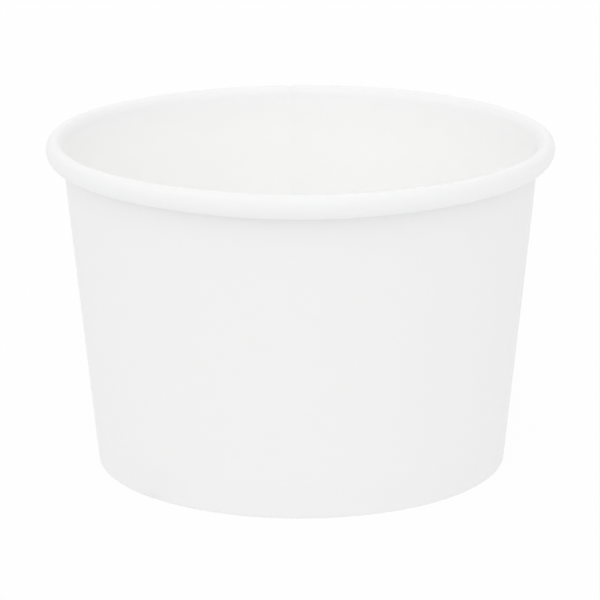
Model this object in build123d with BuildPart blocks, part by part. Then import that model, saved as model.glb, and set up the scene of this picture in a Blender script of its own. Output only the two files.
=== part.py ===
from build123d import *
import os
from math import asin, atan2, cos, degrees, hypot, pi, radians, sin, sqrt, tan

os.makedirs("parts", exist_ok=True)

# Squat round paper soup container. Millimetres, +Z up. The origin is the centre
# of the circle that the folded foot stands on, and Z is the axis of the cone.

# ---------------------------------------------------------------- driving sizes
rim_diameter = 90.0        # over the rolled rim
height = 58.9              # foot to the top of the rim
foot_diameter = 73.1       # over the sidewall, carried down to the foot
sheet = 0.42               # coated board of the sidewall
base_sheet = 0.32          # coated board of the base
air = 0.08                 # air left between neighbouring turns of the roll
seat_gap = 0.02            # film of coating between the base's skirt and the sidewall

# rolled rim: radii of the outside of the roll, and the directions (degrees from
# +R, measured on the outward normal) where one arc passes into the next
roll_inner = 3.45          # mouth side
roll_top = 1.375           # over the top
roll_outer = 2.48          # outside
roll_under = 1.23          # underneath
turn_inner_top = 140.0
turn_top_outer = 20.0
turn_outer_under = -60.0
turn_under_tuck = -90.0
tail_end_normal = 62.0     # where the tucked-in edge of the blank stops

# foot
foot_corner = 0.34         # outside radius at the two pressed corners of the fold
crease = 0.05              # inside radius of those corners
leg_top = 5.7              # top of the sidewall's folded-up edge, inside the foot

# base
base_top = 6.9             # upper face of the base above the table
base_bend = 0.75           # outside radius where its edge turns down into a skirt
skirt_end = 0.50           # lower edge of the skirt above the table

# side seam: the two edges of the blank lap over each other
lap = 7.4                  # width of the lap at the foot
seam_angle = 92.0          # direction of the inside edge of the lap
settle = 20.0              # degrees over which the outer layer comes in to the cone

# ---------------------------------------------------------------- section maths
rim_r = rim_diameter / 2
foot_r = foot_diameter / 2


def nrm(a):
    """Unit vector in the R-Z section at a degrees from +R."""
    return (cos(radians(a)), sin(radians(a)))


def move(p, d, s):
    return (p[0] + d[0] * s, p[1] + d[1] * s)


# centres of the arcs of the roll, from the outside edge inwards
c_outer = (rim_r - roll_outer, 0.0)
c_top = move(c_outer, nrm(turn_top_outer), roll_outer - roll_top)
drop = height - roll_top - c_top[1]
c_outer = (c_outer[0], c_outer[1] + drop)
c_top = (c_top[0], c_top[1] + drop)
c_inner = move(c_top, nrm(turn_inner_top), roll_top - roll_inner)
c_under = move(c_outer, nrm(turn_outer_under), roll_outer - roll_under)

# the outside of the wall is the line from the foot that passes the first arc at
# one sheet less than its radius
away = hypot(c_inner[0] - foot_r, c_inner[1])
lean = degrees(atan2(c_inner[1], c_inner[0] - foot_r)) + degrees(
    asin((roll_inner - sheet) / away)
)                                                # heading of the wall, under 90
inward = nrm(lean + 90.0)                        # from the wall to the axis
flare = 1.0 / tan(radians(lean))                 # radius gained for each mm of height
level = sheet / sin(radians(lean))               # the sheet measured level

# the sheet tucks back in against the wall with a last, smaller arc
reach = (c_under[0] - foot_r) * -inward[0] + c_under[1] * -inward[1]
under_n = nrm(turn_under_tuck)
slant = under_n[0] * -inward[0] + under_n[1] * -inward[1]
roll_tuck = (reach + slant * roll_under - air) / (1.0 + slant)
c_tuck = move(c_under, under_n, roll_under - roll_tuck)


def outer_wall(z):
    return foot_r + flare * z


# one entry for each arc of the roll: centre, outside radius, first and last normal
full_turn = lean + 90.0
tail_inner = roll_inner - sheet - air
tail_top = roll_top - sheet - air
roll = [
    (c_inner, roll_inner, full_turn, turn_inner_top),
    (c_top, roll_top, turn_inner_top, turn_top_outer),
    (c_outer, roll_outer, turn_top_outer, turn_outer_under),
    (c_under, roll_under, turn_outer_under, turn_under_tuck),
    (c_tuck, roll_tuck, turn_under_tuck, full_turn - 360.0),
    (c_inner, tail_inner, full_turn, turn_inner_top),
    (c_top, tail_top, turn_inner_top, tail_end_normal),
]


def arc_points(centre, radius, first, last):
    mid = (first + last) / 2
    return (
        move(centre, nrm(first), radius),
        move(centre, nrm(mid), radius),
        move(centre, nrm(last), radius),
    )


def corner(before, at, after, radius):
    """Start, middle and end of the arc that rounds the corner at a point."""
    u = (before[0] - at[0], before[1] - at[1])
    v = (after[0] - at[0], after[1] - at[1])
    lu, lv = hypot(*u), hypot(*v)
    u, v = (u[0] / lu, u[1] / lu), (v[0] / lv, v[1] / lv)
    half = 0.5 * degrees(atan2(abs(u[0] * v[1] - u[1] * v[0]), u[0] * v[0] + u[1] * v[1]))
    back = radius / tan(radians(half))
    b = (u[0] + v[0], u[1] + v[1])
    lb = hypot(*b)
    centre = move(at, (b[0] / lb, b[1] / lb), radius / sin(radians(half)))
    return (
        move(at, u, back),
        move(centre, (-b[0] / lb, -b[1] / lb), radius),
        move(at, v, back),
    )


# section corners of the foot. The fold is a flat-bottomed U round the skirt.
fold_gap = (base_sheet + 2 * seat_gap) / sin(radians(lean))    # level width of the gap
leg_outer = foot_r - level - fold_gap            # leg's face towards the skirt, at z = 0
leg_inner = leg_outer - level                    # leg's face towards the axis, at z = 0


def on(radius0, z):
    """A point on a line parallel to the wall that passes radius0 at z = 0."""
    return (radius0 + flare * z, z)


outside_corner = corner(on(foot_r, 9.0), on(foot_r, 0.0), on(leg_inner, 0.0), foot_corner)
axis_corner = corner(on(foot_r, 0.0), on(leg_inner, 0.0), on(leg_inner, 5.0), foot_corner)
crease_out = corner(on(foot_r - level, 9.0), on(foot_r - level, sheet),
                    on(leg_outer, sheet), crease)
crease_in = corner(on(foot_r - level, sheet), on(leg_outer, sheet),
                   on(leg_outer, 5.0), crease)
plate_end = foot_r - 0.80                        # where the lapped layer's fold stops
fold_end = foot_r - 0.31                         # and the plain fold, drawn by itself


def sheet_face(whole_fold):
    """The sidewall's section as a face on Plane.XZ: one strip of board.

    With whole_fold the strip starts at the top of the folded-up leg. Without it,
    the strip starts on the flat of the fold, as the outer layer of the lap does.
    """
    with BuildSketch(Plane.XZ, mode=Mode.PRIVATE) as strip:
        with BuildLine():
            # the face towards the table and the room, and the inside of the roll
            if whole_fold:
                start = Line(on(leg_inner, leg_top), axis_corner[2])
                a = ThreePointArc(start @ 1, axis_corner[1], axis_corner[0])
            else:
                a = Line((plate_end, sheet), (plate_end, 0.0))
            b = Line(a @ 1, outside_corner[2])
            c = ThreePointArc(b @ 1, outside_corner[1], outside_corner[0])
            last = c @ 1
            for centre, radius, first, end in roll:
                p, q, r = arc_points(centre, radius - sheet, first, end)
                if hypot(p[0] - last.X, p[1] - last.Y) > 1e-4:
                    last = Line(last, p) @ 1
                last = ThreePointArc(last, q, r) @ 1
            # back along the face towards the soup, and the outside of the roll
            last = Line(last, move(roll[-1][0], nrm(roll[-1][3]), roll[-1][1])) @ 1
            for centre, radius, first, end in reversed(roll):
                p, q, r = arc_points(centre, radius, end, first)
                if hypot(p[0] - last.X, p[1] - last.Y) > 1e-4:
                    last = Line(last, p) @ 1
                last = ThreePointArc(last, q, r) @ 1
            last = Line(last, crease_out[0]) @ 1
            last = ThreePointArc(last, crease_out[1], crease_out[2]) @ 1
            if whole_fold:
                last = Line(last, crease_in[0]) @ 1
                last = ThreePointArc(last, crease_in[1], crease_in[2]) @ 1
                last = Line(last, on(leg_outer, leg_top)) @ 1
                Line(last, start @ 0)
            else:
                Line(last, (plate_end, sheet))
        make_face()
    return strip.sketch


def foot_face():
    """Section of the fold and its leg alone, without the wall above."""
    with BuildSketch(Plane.XZ, mode=Mode.PRIVATE) as strip:
        with BuildLine():
            start = Line(on(leg_inner, leg_top), axis_corner[2])
            a = ThreePointArc(start @ 1, axis_corner[1], axis_corner[0])
            b = Line(a @ 1, (fold_end, 0.0))
            c = Line(b @ 1, (fold_end, sheet))
            d = Line(c @ 1, crease_in[0])
            e = ThreePointArc(d @ 1, crease_in[1], crease_in[2])
            f = Line(e @ 1, on(leg_outer, leg_top))
            Line(f @ 1, start @ 0)
        make_face()
    return strip.sketch


# ---------------------------------------------------------------- side seam in plan
# Going round from the outside edge of the blank: the lap, then a stretch where the
# outer layer comes in to the plain cone by two arcs of equal turn about two upright
# axes, and then the plain cone, all the way round and under the lap.
lap_angle = degrees(lap / foot_r)
half_settle = settle / 2
near_s = level / (
    1 - cos(radians(settle)) - sin(radians(settle)) * tan(radians(half_settle / 2))
)                                                # first axis, from Z
far_s = -near_s * sin(radians(settle)) / sin(radians(half_settle))   # second, from the first

edge_out = seam_angle - lap_angle                # outside edge of the lap
edge_in = seam_angle                             # inside edge of the lap
bend = edge_in + half_settle                     # where the two arcs meet
settled = edge_in + settle                       # plain cone from here on


def meridian(angle, at=(0.0, 0.0)):
    """Upright plane that faces round the cup, with its own origin in plan."""
    c, s = cos(radians(angle)), sin(radians(angle))
    return Plane(origin=(at[0], at[1], 0), x_dir=(c, s, 0), z_dir=(s, -c, 0))


def turned(p, about, angle):
    c, s = cos(radians(angle)), sin(radians(angle))
    x, y = p[0] - about[0], p[1] - about[1]
    return (about[0] + c * x - s * y, about[1] + s * x + c * y)


start_at = move((0.0, 0.0), nrm(edge_in), level)
near_axis = move((0.0, 0.0), nrm(edge_in), near_s)
bend_at = turned(start_at, near_axis, half_settle)
far_axis = move(near_axis, nrm(bend), far_s)

section = sheet_face(True)
lapped = sheet_face(False)
fold = foot_face()

# ---------------------------------------------------------------- sidewall
# One blank: wrapped to a cone, lapped and sealed along the side, rolled outwards
# at the top, and folded inwards and up at the foot.
with BuildPart() as sidewall:
    # plain cone, from where the outer layer has settled round to the lap
    with BuildSketch(meridian(settled)):
        add(section)
    revolve(axis=Axis.Z, revolution_arc=360.0 - lap_angle - settle)

    # the lap, both layers pressed together
    with BuildSketch(meridian(edge_out)) as lap_section:
        add(section)
        with Locations((level, 0)):
            add(lapped)
        for hole in lap_section.face().inner_wires():
            if Face(hole).area < 0.3:            # slits between the layers, pressed shut
                add(Face(hole))
    revolve(axis=Axis.Z, revolution_arc=lap_angle)

    # the outer layer comes in to the cone
    with BuildSketch(meridian(edge_in, start_at)):
        add(lapped)
    revolve(axis=Axis((near_axis[0], near_axis[1], 0), (0, 0, 1)), revolution_arc=half_settle)
    with BuildSketch(meridian(bend, bend_at)):
        add(lapped)
    revolve(axis=Axis((far_axis[0], far_axis[1], 0), (0, 0, 1)), revolution_arc=half_settle)

    # the fold at the foot runs on under it
    with BuildSketch(meridian(edge_in)):
        add(fold)
    revolve(axis=Axis.Z, revolution_arc=settle)

# ---------------------------------------------------------------- base
# One disc with its edge turned down, set up inside the foot. Its skirt fills the
# fold between the sidewall and the sidewall's folded-up leg.
skirt_outer = foot_r - level - seat_gap / sin(radians(lean))     # at z = 0
skirt_inner = skirt_outer - base_sheet / sin(radians(lean))      # at z = 0
base_under = base_top - base_sheet
top_bend = corner((0.0, base_top), on(skirt_outer, base_top), on(skirt_outer, 0.0), base_bend)
under_bend = corner((0.0, base_under), on(skirt_inner, base_under), on(skirt_inner, 0.0),
                    base_bend - base_sheet)

with BuildPart() as base:
    with BuildSketch(Plane.XZ):
        with BuildLine():
            top = Line((0.0, base_top), top_bend[0])
            over = ThreePointArc(top @ 1, top_bend[1], top_bend[2])
            down = Line(over @ 1, on(skirt_outer, skirt_end))
            edge = Line(down @ 1, on(skirt_inner, skirt_end))
            back = Line(edge @ 1, under_bend[2])
            under = ThreePointArc(back @ 1, under_bend[1], under_bend[0])
            below = Line(under @ 1, (0.0, base_under))
            Line(below @ 1, top @ 0)
        make_face()
    revolve(axis=Axis.Z)

sidewall.part.label = "sidewall"
base.part.label = "base"
export_step(sidewall.part, "parts/sidewall.step")
export_step(base.part, "parts/base.step")
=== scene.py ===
import math

import bpy
import numpy as np
from mathutils import Matrix, Vector


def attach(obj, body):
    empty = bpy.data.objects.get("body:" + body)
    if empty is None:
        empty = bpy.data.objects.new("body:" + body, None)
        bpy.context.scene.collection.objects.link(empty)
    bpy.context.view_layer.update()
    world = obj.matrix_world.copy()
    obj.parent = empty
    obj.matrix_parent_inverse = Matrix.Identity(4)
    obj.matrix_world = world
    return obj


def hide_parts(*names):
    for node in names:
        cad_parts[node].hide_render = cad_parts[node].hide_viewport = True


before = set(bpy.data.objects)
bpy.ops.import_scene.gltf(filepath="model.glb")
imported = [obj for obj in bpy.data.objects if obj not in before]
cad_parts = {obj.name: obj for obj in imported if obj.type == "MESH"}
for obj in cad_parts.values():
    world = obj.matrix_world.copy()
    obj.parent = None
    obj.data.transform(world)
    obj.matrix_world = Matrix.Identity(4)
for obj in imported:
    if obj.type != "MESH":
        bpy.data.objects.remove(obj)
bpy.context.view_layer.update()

MM = 0.001
RAD = math.radians

# ------------------------------------------------------------------ the blank's section
# The same sizes as the CAD model, in millimetres. A section is followed along the
# soup side of the board: up out of the fold at the foot, up the wall, and round the
# roll, whose outside is the soup side too.
RIM_R = 45.0
HEIGHT = 58.9
FOOT_R = 36.55
SHEET = 0.42
BASE_SHEET = 0.32
SEAT_GAP = 0.02
AIR = 0.08
R_INNER, R_TOP, R_OUTER, R_UNDER = 3.45, 1.375, 2.48, 1.23
A_IT, A_TO, A_OU, A_UT = 140.0, 20.0, -60.0, -90.0
TAIL_END = 62.0
LEG_TOP = 5.7
CREASE = 0.05
BASE_TOP = 6.9
BASE_BEND = 0.75
SKIRT_END = 0.50
LAP = 7.4
PRESSED, PRESSED_INSIDE = 0.15, 0.31
SEAM = 92.0              # direction of the lap's inside edge, degrees from +X


def nrm(a):
    return np.array([math.cos(RAD(a)), math.sin(RAD(a))])


c_outer = np.array([RIM_R - R_OUTER, 0.0])
c_top = c_outer + nrm(A_TO) * (R_OUTER - R_TOP)
lift = np.array([0.0, HEIGHT - R_TOP - c_top[1]])
c_outer, c_top = c_outer + lift, c_top + lift
c_inner = c_top + nrm(A_IT) * (R_TOP - R_INNER)
c_under = c_outer + nrm(A_OU) * (R_OUTER - R_UNDER)
away = math.hypot(c_inner[0] - FOOT_R, c_inner[1])
LEAN = math.degrees(math.atan2(c_inner[1], c_inner[0] - FOOT_R)) + math.degrees(
    math.asin((R_INNER - SHEET) / away))
along, inward = nrm(LEAN), nrm(LEAN + 90.0)
FLARE = 1.0 / math.tan(RAD(LEAN))
LEVEL = SHEET / math.sin(RAD(LEAN))
reach = float(np.dot(c_under - [FOOT_R, 0.0], -inward))
slant = float(np.dot(nrm(A_UT), -inward))
R_TUCK = (reach + slant * R_UNDER - AIR) / (1.0 + slant)
c_tuck = c_under + nrm(A_UT) * (R_UNDER - R_TUCK)
FULL = LEAN + 90.0


def on(radius0, z):
    return np.array([radius0 + FLARE * z, z])


class Path:
    """Points, normals towards the room side, and running length."""

    def __init__(self):
        self.p, self.n = [], []

    def add(self, p, n):
        if self.p and np.hypot(*(np.array(p) - self.p[-1])) < 1e-6:
            return
        self.p.append(np.array(p, float))
        self.n.append(np.array(n, float))

    def line(self, a, b, n, parts):
        for k in range(parts + 1):
            self.add(a + (b - a) * (k / parts), n)

    def arc(self, c, r, first, last, parts, side):
        """side -1: the room side looks to the arc's centre, +1: away from it."""
        for k in range(parts + 1):
            d = nrm(first + (last - first) * k / parts)
            self.add(c + d * r, d * side)

    def arrays(self):
        p, n = np.array(self.p), np.array(self.n)
        s = np.r_[0.0, np.cumsum(np.hypot(*np.diff(p, axis=0).T))]
        return p, n, s


def fillet(at, d_in, d_out, r):
    """Tangent points and centre of a rounded corner, for unit directions in and out."""
    turn = math.atan2(d_in[0] * d_out[1] - d_in[1] * d_out[0], float(np.dot(d_in, d_out)))
    back = r * math.tan(abs(turn) / 2)
    a, b = at - d_in * back, at + d_out * back
    left = np.array([-d_in[1], d_in[0]]) * (1 if turn > 0 else -1)
    c = a + left * r
    first = math.degrees(math.atan2(*(a - c)[::-1]))
    return a, b, c, first, first + math.degrees(turn)


fold_gap = (BASE_SHEET + 2 * SEAT_GAP) / math.sin(RAD(LEAN))
LEG_OUTER = FOOT_R - LEVEL - fold_gap


def blank_path():
    """Soup-side section of the board."""
    path = Path()
    right, up = np.array([1.0, 0.0]), along
    ca = fillet(on(LEG_OUTER, SHEET), -up, right, CREASE)
    cb = fillet(on(FOOT_R - LEVEL, SHEET), right, up, CREASE)
    path.line(on(LEG_OUTER, LEG_TOP), ca[0], inward, 8)
    path.arc(ca[2], CREASE, ca[3], ca[4], 6, 1)
    path.line(ca[1], cb[0], np.array([0.0, -1.0]), 2)
    path.arc(cb[2], CREASE, cb[3], cb[4], 6, 1)
    start = c_inner + nrm(FULL) * R_INNER
    path.line(cb[1], on(cb[1][0] - FLARE * cb[1][1], 9.0), -inward, 7)
    path.line(on(cb[1][0] - FLARE * cb[1][1], 9.0), start, -inward, 22)
    arcs = [
        (c_inner, R_INNER, FULL, A_IT, 9),
        (c_top, R_TOP, A_IT, A_TO, 16),
        (c_outer, R_OUTER, A_TO, A_OU, 12),
        (c_under, R_UNDER, A_OU, A_UT, 4),
        (c_tuck, R_TUCK, A_UT, FULL - 360.0, 9),
    ]
    for c, r, a, b, parts in arcs:
        path.arc(c, r, a, b, parts, -1)
    tail = R_INNER - SHEET - AIR
    path.arc(c_inner, tail, FULL, A_IT, 4, -1)
    path.arc(c_top, R_TOP - SHEET - AIR, A_IT, TAIL_END, 6, -1)
    return path


# ------------------------------------------------------------------ small helpers
def smooth(x):
    x = np.clip(x, 0.0, 1.0)
    return x * x * x * (x * (6 * x - 15) + 10)


def wave(theta, terms):
    """Sum of (amplitude, times round, phase) round the cup. theta in radians."""
    return sum(a * np.cos(k * theta + p) for a, k, p in terms)


def build_mesh(name, verts, faces, mats, mat_index=None, sharp=35.0):
    mesh = bpy.data.meshes.new(name)
    mesh.from_pydata(verts, [], faces)
    mesh.validate()
    for m in mats:
        mesh.materials.append(m)
    if mat_index is not None:
        mesh.polygons.foreach_set("material_index", np.asarray(mat_index, np.int32))
    mesh.shade_smooth()
    mesh.set_sharp_from_angle(angle=RAD(sharp))
    mesh.update()
    obj = bpy.data.objects.new(name, mesh)
    bpy.context.scene.collection.objects.link(obj)
    return obj


def vector_attribute(obj, name, data):
    attr = obj.data.attributes.new(name, "FLOAT_VECTOR", "POINT")
    attr.data.foreach_set("vector", np.ascontiguousarray(data, np.float32).ravel())


# ------------------------------------------------------------------ materials
def new_material(name):
    mat = bpy.data.materials.new(name)
    mat.use_nodes = True
    nt = mat.node_tree
    nt.nodes.clear()
    out = nt.nodes.new("ShaderNodeOutputMaterial")
    bsdf = nt.nodes.new("ShaderNodeBsdfPrincipled")
    nt.links.new(bsdf.outputs[0], out.inputs[0])
    return mat, nt, bsdf


def node(nt, kind, **values):
    n = nt.nodes.new(kind)
    for k, v in values.items():
        if k in n.inputs.keys():
            n.inputs[k].default_value = v
        else:
            setattr(n, k, v)
    return n


def noise(nt, vec, scale, detail=3.0, rough=0.5):
    n = node(nt, "ShaderNodeTexNoise", Scale=scale, Detail=detail, Roughness=rough)
    nt.links.new(vec, n.inputs["Vector"])
    return n.outputs["Fac"]


def mapped(nt, vec, scale):
    n = node(nt, "ShaderNodeMapping")
    n.inputs["Scale"].default_value = scale
    nt.links.new(vec, n.inputs["Vector"])
    return n.outputs["Vector"]


def math_node(nt, op, a, b=None, c=None):
    n = nt.nodes.new("ShaderNodeMath")
    n.operation = op
    for i, v in enumerate((a, b, c)):
        if v is None:
            continue
        if isinstance(v, (int, float)):
            n.inputs[i].default_value = v
        else:
            nt.links.new(v, n.inputs[i])
    return n.outputs[0]


def mix_colour(nt, fac, a, b):
    n = nt.nodes.new("ShaderNodeMix")
    n.data_type = "RGBA"
    for sock, v in ((n.inputs[0], fac), (n.inputs[6], a), (n.inputs[7], b)):
        if isinstance(v, (int, float, tuple)):
            sock.default_value = v
        else:
            nt.links.new(v, sock)
    return n.outputs[2]


def remap(nt, v, lo, hi, to_lo, to_hi):
    n = nt.nodes.new("ShaderNodeMapRange")
    n.inputs[1].default_value, n.inputs[2].default_value = lo, hi
    n.inputs[3].default_value, n.inputs[4].default_value = to_lo, to_hi
    nt.links.new(v, n.inputs[0])
    return n.outputs[0]


def bump(nt, height, strength, distance, normal=None):
    n = node(nt, "ShaderNodeBump")
    n.inputs["Strength"].default_value = strength
    n.inputs["Distance"].default_value = distance
    nt.links.new(height, n.inputs["Height"])
    if normal is not None:
        nt.links.new(normal, n.inputs["Normal"])
    return n.outputs["Normal"]


def grey(v, warm=0.0):
    return (v, v * (1 - 0.35 * warm), v * (1 - warm), 1.0)


# painted light: the soup side, inside the cup, is painted far lighter than the room side (0.985 against 0.866), to
# stand in for light that the inside of the cup would get
ROOM_WHITE = grey(0.866, 0.000)
SOUP_PAINTED_LIGHT = grey(0.985, 0.003)
# painted shade: the greyer tone painted round the roll
ROLL_PAINTED_SHADE = grey(0.884, 0.000)


def see_through(bsdf):
    """White board of this weight lets about a hundredth of the light through."""
    bsdf.inputs["Subsurface Weight"].default_value = 0.12
    bsdf.inputs["Subsurface Radius"].default_value = (1.0, 0.96, 0.90)
    bsdf.inputs["Subsurface Scale"].default_value = 0.00036


def board_material():
    """Coated cup board. 'blank' holds x, y on the flat blank in mm, and z = 1 on the
    soup side, 0 on the room side."""
    mat, nt, bsdf = new_material("cup_board")
    at = node(nt, "ShaderNodeAttribute", attribute_name="blank")
    sep = nt.nodes.new("ShaderNodeSeparateXYZ")
    nt.links.new(at.outputs["Vector"], sep.inputs[0])
    flat = nt.nodes.new("ShaderNodeCombineXYZ")
    nt.links.new(sep.outputs[0], flat.inputs[0])
    nt.links.new(sep.outputs[1], flat.inputs[1])
    nt.links.new(math_node(nt, "MULTIPLY", sep.outputs[2], 40.0), flat.inputs[2])
    v = flat.outputs[0]
    side = sep.outputs[2]
    cloud = noise(nt, mapped(nt, v, (0.30, 0.42, 1.0)), 1.0, 3.0, 0.55)
    fibre = noise(nt, mapped(nt, v, (1.1, 3.6, 1.0)), 1.0, 4.0, 0.62)
    grain = noise(nt, mapped(nt, v, (7.0, 9.0, 1.0)), 1.0, 2.0, 0.5)
    # painted shade: from about 7 mm below the brow and on round the roll, the soup side is painted greyer in three
    # steps, so that the roll, where it turns to face up into the light, comes out no brighter than the wall
    p, n, s = blank_path().arrays()
    brow = float(s[np.argmax(p[:, 1] > HEIGHT - 2.2)])
    roll_painted_shade = 0.0
    for first, last, part in ((-7.0, -2.5, 0.14), (-0.4, 0.8, 0.51), (1.5, 2.4, 0.35)):
        roll_painted_shade = math_node(nt, "ADD", remap(nt, sep.outputs[1], brow + first, brow + last, 0.0, part),
                            roll_painted_shade)
    soup = mix_colour(nt, roll_painted_shade, SOUP_PAINTED_LIGHT, ROLL_PAINTED_SHADE)
    # painted light: the inside is painted lighter than the outside
    base = mix_colour(nt, side, ROOM_WHITE, soup)
    shade = math_node(nt, "ADD", remap(nt, cloud, 0.3, 0.7, -0.003, 0.003),
                      remap(nt, fibre, 0.25, 0.75, -0.004, 0.004))
    dark = nt.nodes.new("ShaderNodeHueSaturation")
    nt.links.new(base, dark.inputs["Color"])
    nt.links.new(math_node(nt, "ADD", shade, 1.0), dark.inputs["Value"])
    nt.links.new(dark.outputs[0], bsdf.inputs["Base Color"])
    nt.links.new(remap(nt, fibre, 0.2, 0.8, 0.58, 0.48), bsdf.inputs["Roughness"])
    h = math_node(nt, "ADD", math_node(nt, "MULTIPLY", fibre, 0.7),
                  math_node(nt, "MULTIPLY", grain, 0.3))
    nt.links.new(bump(nt, h, 0.22, 0.00004), bsdf.inputs["Normal"])
    bsdf.inputs["Specular IOR Level"].default_value = 0.28
    bsdf.inputs["IOR"].default_value = 1.46
    see_through(bsdf)
    # next to no light comes through where the board is sealed to a second layer
    lap = node(nt, "ShaderNodeAttribute", attribute_name="lapped")
    nt.links.new(remap(nt, lap.outputs["Fac"], 0.0, 1.0, 0.12, 0.04),
                 bsdf.inputs["Subsurface Weight"])
    return mat


def edge_material():
    """Cut edge of the board, bare fibre in layers."""
    mat, nt, bsdf = new_material("cut_edge")
    tc = node(nt, "ShaderNodeTexCoord")
    lay = noise(nt, mapped(nt, tc.outputs["Object"], (9000.0, 9000.0, 1500.0)), 1.0, 3.0, 0.6)
    col = mix_colour(nt, lay, (0.85, 0.835, 0.80, 1.0), (0.92, 0.91, 0.885, 1.0))
    nt.links.new(col, bsdf.inputs["Base Color"])
    bsdf.inputs["Roughness"].default_value = 0.9
    bsdf.inputs["Specular IOR Level"].default_value = 0.2
    nt.links.new(bump(nt, lay, 0.5, 0.00004), bsdf.inputs["Normal"])
    return mat


def base_material():
    mat, nt, bsdf = new_material("base_board")
    tc = node(nt, "ShaderNodeTexCoord")
    v = mapped(nt, tc.outputs["Object"], (1000.0, 1000.0, 1000.0))
    cloud = noise(nt, mapped(nt, v, (0.28, 0.36, 0.3)), 1.0, 3.0, 0.55)
    fibre = noise(nt, mapped(nt, v, (1.2, 3.4, 2.0)), 1.0, 4.0, 0.62)
    grain = noise(nt, v, 8.0, 2.0, 0.5)
    shade = math_node(nt, "ADD", remap(nt, cloud, 0.3, 0.7, -0.004, 0.004),
                      remap(nt, fibre, 0.25, 0.75, -0.004, 0.004))
    hsv = nt.nodes.new("ShaderNodeHueSaturation")
    hsv.inputs["Color"].default_value = grey(0.965, 0.007)
    see_through(bsdf)
    nt.links.new(math_node(nt, "ADD", shade, 1.0), hsv.inputs["Value"])
    nt.links.new(hsv.outputs[0], bsdf.inputs["Base Color"])
    nt.links.new(remap(nt, fibre, 0.2, 0.8, 0.56, 0.46), bsdf.inputs["Roughness"])
    h = math_node(nt, "ADD", math_node(nt, "MULTIPLY", fibre, 0.7),
                  math_node(nt, "MULTIPLY", grain, 0.3))
    nt.links.new(bump(nt, h, 0.22, 0.00004), bsdf.inputs["Normal"])
    bsdf.inputs["Specular IOR Level"].default_value = 0.28
    return mat


board, cut_edge, base_board = board_material(), edge_material(), base_material()


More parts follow.
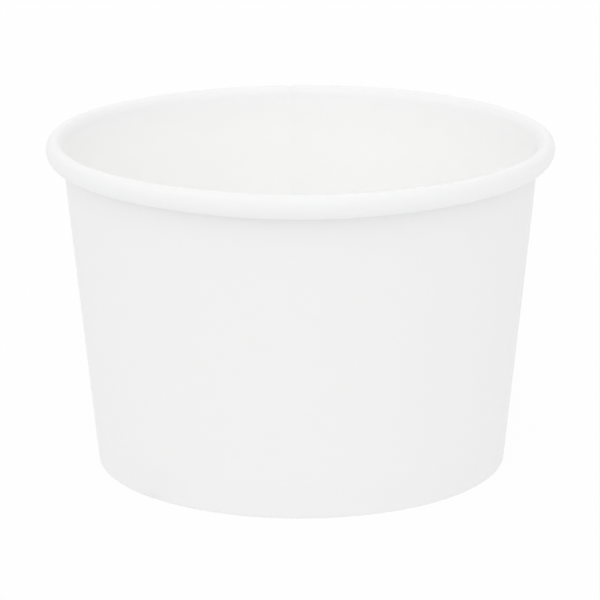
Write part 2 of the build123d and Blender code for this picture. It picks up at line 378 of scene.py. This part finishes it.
# ------------------------------------------------------------------ sidewall
# One strip of board carried round once and a lap more. u is the angle in degrees from
# the blank's outside edge: the outer layer of the lap first, then the stretch where it
# settles on to the cone, then the cone, then the inner layer under the lap.
def make_sidewall():
    lap_deg = math.degrees(LAP / FOOT_R)
    settle = 9.0                                   # degrees, on the wall
    edge = np.array([0.0, 0.12, 0.28, 0.50, 0.78, 1.12, 1.55, 2.1, 2.8])
    u = np.r_[
        edge,
        np.linspace(3.6, lap_deg, 9)[:-1],
        lap_deg + settle * np.linspace(0.0, 1.0, 22)[:-1] ** 1.6,
        np.linspace(lap_deg + settle, 358.0, 328)[:-1],
        np.linspace(358.0, 360.0, 5)[:-1],
        np.linspace(360.0, 360.0 + lap_deg - 3.6, 9),
        (360.0 + lap_deg - edge)[::-1],
    ]
    p, n, s = blank_path().arrays()
    J, I = len(p), len(u)
    z = p[:, 1]
    # how far along the section each row is: 1 on the wall and the roll, falling at the
    # pressed foot, where the two layers of the lap share one thickness
    foot_s = s[np.argmin(np.where(np.arange(J) > 16, np.abs(z - 0.45), 9))]
    wall = smooth((s - foot_s - 0.1) / 2.6)
    inner_layer = SHEET * (0.5 + 0.5 * wall) - 0.004 * (1 - wall)   # thickness underneath
    # 1 in the lap, 0 on the cone: sooner in the roll, which the rolling tool levelled
    run = settle - (settle - 3.2) * smooth((z - 53.5) / 2.5)
    out = 1.0 - smooth((u[:, None] - lap_deg) / run[None, :])
    under = smooth((u - 358.2) / 1.8)              # 1 in the inner layer of the lap
    # both cut edges are pressed thinner where the seam was sealed hot: the outside one from
    # the room side, the inside one from below, where the outer layer rises to meet it
    from_inside = np.where(u > 180.0, 360.0 + lap_deg - u, np.clip(lap_deg - u, 0.0, None))
    squeeze = PRESSED_INSIDE * wall[None, :] * (1.0 - smooth(from_inside / 4.5))[:, None]
    below = inner_layer[None, :] - squeeze
    depth = out * (below + 0.004)
    thick = (SHEET - (SHEET - inner_layer)[None, :] * (out + under[:, None])
             - squeeze * (u > 180.0)[:, None]
             - PRESSED * wall[None, :] * (1.0 - smooth(u / 2.0))[:, None])

    theta = RAD(SEAM - lap_deg) + np.radians(u)
    q = p[None, :, :] + depth[:, :, None] * n[None, :, :]
    r_in, z_in = q[..., 0], q[..., 1]
    q2 = q + thick[:, :, None] * n[None, :, :]
    r_out, z_out = q2[..., 0], q2[..., 1]

    # a real cup is a little out of true: the rim isn't quite flat or round, and this one
    # dips a little at the front, its underside more than its top
    th = theta[:, None]
    up = np.clip((z[None, :] - 9.0) / 49.0, 0.0, 1.0)
    ripple = wave(th, [(0.060, 1, math.pi), (0.014, 3, 2.1), (0.010, 5, 0.9), (0.006, 8, 4.0)])
    front = (np.degrees(th) - 268.0) % 360.0
    front = np.minimum(front, 360.0 - front)
    dz = (wave(th, [(0.020, 1, 0.0), (0.045, 2, -1.571), (0.010, 4, 1.1), (0.007, 7, 2.0)]) - 0.068
          - (0.20 + 0.13 * smooth((57.5 - z[None, :]) / 2.5)) * np.exp(-0.5 * (front / 20.0) ** 2)
          - 0.07 * np.clip(-np.sin(th), 0.0, 1.0))
    # and it stands a little high and wide on its left shoulder
    around = np.degrees(th) % 360.0
    dz = dz + 0.09 * np.exp(-0.5 * ((around - 160.0) / 18.0) ** 2)
    top = smooth((z[None, :] - 46.0) / 10.0)
    dr = ((ripple - 0.090) * up ** 2
          + 0.25 * np.exp(-0.5 * ((around - 150.0) / 12.0) ** 2) * top)
    rows = []
    for r, zz in ((r_in, z_in), (r_out, z_out)):
        r2, z2 = r + dr, zz + dz * top
        rows.append(np.stack([r2 * np.cos(th), r2 * np.sin(th), z2], axis=2))
    verts = np.concatenate([rows[0].reshape(-1, 3), rows[1].reshape(-1, 3)])
    K = I * J
    faces, mats = [], []

    def quad(a, b, c, d, m):
        faces.append((a, b, c, d))
        mats.append(m)

    for i in range(I - 1):
        for j in range(J - 1):
            a, b, c, d = i * J + j, (i + 1) * J + j, (i + 1) * J + j + 1, i * J + j + 1
            quad(d, c, b, a, 0)
            quad(K + a, K + b, K + c, K + d, 0)
        a, b = i * J, (i + 1) * J
        quad(a, b, K + b, K + a, 1)
        a, b = i * J + J - 1, (i + 1) * J + J - 1
        quad(b, a, K + a, K + b, 1)
    for j in range(J - 1):
        quad(j + 1, j, K + j, K + j + 1, 1)
        a = (I - 1) * J + j
        quad(a, a + 1, K + a + 1, K + a, 1)
    obj = build_mesh("sidewall_board", verts * MM, faces, [board, cut_edge], mats)
    flat_u = np.radians(u)[:, None] * np.broadcast_to(p[None, :, 0], (I, J))
    flat = np.stack([flat_u, np.broadcast_to(s[None, :], (I, J)), np.ones((I, J))], axis=2)
    both = np.concatenate([flat.reshape(-1, 3), flat.reshape(-1, 3) * [1, 1, 0]])
    vector_attribute(obj, "blank", both)
    lapped = np.repeat(np.clip(1.0 - smooth((u - lap_deg) / 1.5) + under, 0.0, 1.0), J)
    attr = obj.data.attributes.new("lapped", "FLOAT", "POINT")
    attr.data.foreach_set("value", np.tile(lapped, 2).astype(np.float32))
    return obj


sidewall = make_sidewall()
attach(sidewall, "root")
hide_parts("sidewall")


# ------------------------------------------------------------------ base
def make_base():
    path = Path()
    skirt_outer = FOOT_R - LEVEL - SEAT_GAP / math.sin(RAD(LEAN))
    skirt_inner = skirt_outer - BASE_SHEET / math.sin(RAD(LEAN))
    right, down = np.array([1.0, 0.0]), -along
    fa = fillet(on(skirt_outer, BASE_TOP), right, down, BASE_BEND)
    # upper face from the middle out, round the bend and down the skirt, along the
    # cut edge, and back up and in along the under face
    for a, b in zip(np.r_[0.0, 4, 9, 14, 19, 24, 28, 31, 33, 34.5], np.r_[4.0, 9, 14, 19, 24, 28, 31, 33, 34.5, 36]):
        if b >= fa[0][0]:
            path.add(fa[0], np.array([0.0, -1.0]))
            break
        path.add(np.array([a, BASE_TOP]), np.array([0.0, -1.0]))
    path.arc(fa[2], BASE_BEND, fa[3], fa[4], 10, -1)
    path.line(fa[1], on(skirt_outer, SKIRT_END), inward, 10)
    p, n, s = path.arrays()
    p = p[1:] if p[0][0] > 0 else p
    n = n[-len(p):]
    s = s[-len(p):]
    J = len(p)
    I = 360
    th = np.radians(np.arange(I) * 360.0 / I)[:, None]
    crown = 0.18 * (1 - np.clip(p[None, :, 0] / 34.0, 0, 1) ** 2) * (p[None, :, 1] > BASE_TOP - 0.01)
    verts = [(0.0, 0.0, BASE_TOP + 0.18), (0.0, 0.0, BASE_TOP - BASE_SHEET + 0.18)]
    top = np.stack([p[None, :, 0] * np.cos(th), p[None, :, 0] * np.sin(th),
                    np.broadcast_to(p[None, :, 1], (I, J)) + crown], axis=2)
    q = p + n * BASE_SHEET
    bot = np.stack([q[None, :, 0] * np.cos(th), q[None, :, 0] * np.sin(th),
                    np.broadcast_to(q[None, :, 1], (I, J)) + crown], axis=2)
    start = 1                                       # row 0 is the middle
    verts = np.concatenate([np.array(verts), top[:, start:].reshape(-1, 3), bot[:, start:].reshape(-1, 3)])
    R = J - start
    K = I * R
    faces, mats = [], []
    for i in range(I):
        k = (i + 1) % I
        faces.append((0, 2 + i * R, 2 + k * R)); mats.append(0)
        faces.append((1, 2 + K + k * R, 2 + K + i * R)); mats.append(0)
        for j in range(R - 1):
            a, b = 2 + i * R + j, 2 + k * R + j
            faces.append((a, a + 1, b + 1, b)); mats.append(0)
            faces.append((K + b, K + b + 1, K + a + 1, K + a)); mats.append(0)
        a, b = 2 + i * R + R - 1, 2 + k * R + R - 1
        faces.append((a, K + a, K + b, b)); mats.append(1)
    return build_mesh("base_disc", verts * MM, faces, [base_board, cut_edge], mats)


base = make_base()
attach(base, "root")
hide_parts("base")

# ------------------------------------------------------------------ camera
# 600 x 600 frame. The camera looks down on the cup by TILT from the -Y side.
UNIT = 0.9 * MM
F_PX, DIST, TILT, AIM_Z, ROLL = 3258.1, 648.53 * UNIT, 0.2712, 31.75 * UNIT, -0.0020
CX, CY = 301.12, 300.50
cam_data = bpy.data.cameras.new("camera")
cam_data.sensor_width = 36.0
cam_data.lens = F_PX / 600.0 * 36.0
cam_data.clip_start, cam_data.clip_end = 0.01, 50.0
cam = bpy.data.objects.new("camera", cam_data)
bpy.context.scene.collection.objects.link(cam)
look = Vector((0.0, math.cos(TILT), -math.sin(TILT)))
side = Vector((1.0, 0.0, 0.0))
over = side.cross(look)
cr, sr = math.cos(ROLL), math.sin(ROLL)
side2, over2 = cr * side + sr * over, -sr * side + cr * over
place = (Vector((0.0, 0.0, AIM_Z)) - look * DIST - side2 * ((CX - 300.0) / F_PX * DIST)
         + over2 * ((CY - 300.0) / F_PX * DIST))
cam.matrix_world = Matrix((
    (side2.x, over2.x, -look.x, place.x),
    (side2.y, over2.y, -look.y, place.y),
    (side2.z, over2.z, -look.z, place.z),
    (0, 0, 0, 1)))
bpy.context.scene.camera = cam

# ------------------------------------------------------------------ floor and light
floor_mesh = bpy.data.meshes.new("floor")
floor_mesh.from_pydata([(-4, -4, 0), (4, -4, 0), (4, 4, 0), (-4, 4, 0)], [], [(0, 1, 2, 3)])
floor = bpy.data.objects.new("floor", floor_mesh)
bpy.context.scene.collection.objects.link(floor)
# a light table: part of its brightness is its own, so the cup casts next to no shadow
fmat, fnt, fbsdf = new_material("floor_white")
fbsdf.inputs["Base Color"].default_value = (0.07, 0.07, 0.07, 1.0)
fbsdf.inputs["Roughness"].default_value = 1.0
fbsdf.inputs["Specular IOR Level"].default_value = 0.0
fbsdf.inputs["Emission Color"].default_value = (1.0, 1.0, 1.0, 1.0)
fbsdf.inputs["Emission Strength"].default_value = 0.920
floor_mesh.materials.append(fmat)

world = bpy.data.worlds.new("world")
bpy.context.scene.world = world
world.use_nodes = True
background = world.node_tree.nodes["Background"]
background.inputs["Color"].default_value = (1.0, 1.0, 1.0, 1.0)
background.inputs["Strength"].default_value = 0.822


def sun(name, azimuth, elevation, strength, angle, colour=(1, 1, 1)):
    data = bpy.data.lights.new(name, "SUN")
    data.energy, data.angle, data.color = strength, RAD(angle), colour
    lamp = bpy.data.objects.new(name, data)
    bpy.context.scene.collection.objects.link(lamp)
    a, e = RAD(azimuth), RAD(elevation)
    d = Vector((math.cos(a) * math.cos(e), math.sin(a) * math.cos(e), math.sin(e)))
    lamp.rotation_euler = d.to_track_quat("Z", "Y").to_euler()
    return lamp


sun("front", -90.0, 40.0, 0.161, 40.0)
sun("front_high", -90.0, 75.0, 0.087, 40.0)
sun("left", -135.0, 40.0, 0.186, 40.0)
sun("left_high", -135.0, 65.0, 0.076, 40.0)
sun("right", -45.0, 40.0, 0.117, 40.0)
sun("right_high", -45.0, 65.0, 0.112, 40.0)
sun("side", 180.0, 50.0, 0.079, 40.0)
sun("back", 90.0, 40.0, 0.140, 40.0)

view = bpy.context.scene.view_settings
view.view_transform = "Standard"
view.look = "None"
view.exposure = 0.0
view.gamma = 1.0
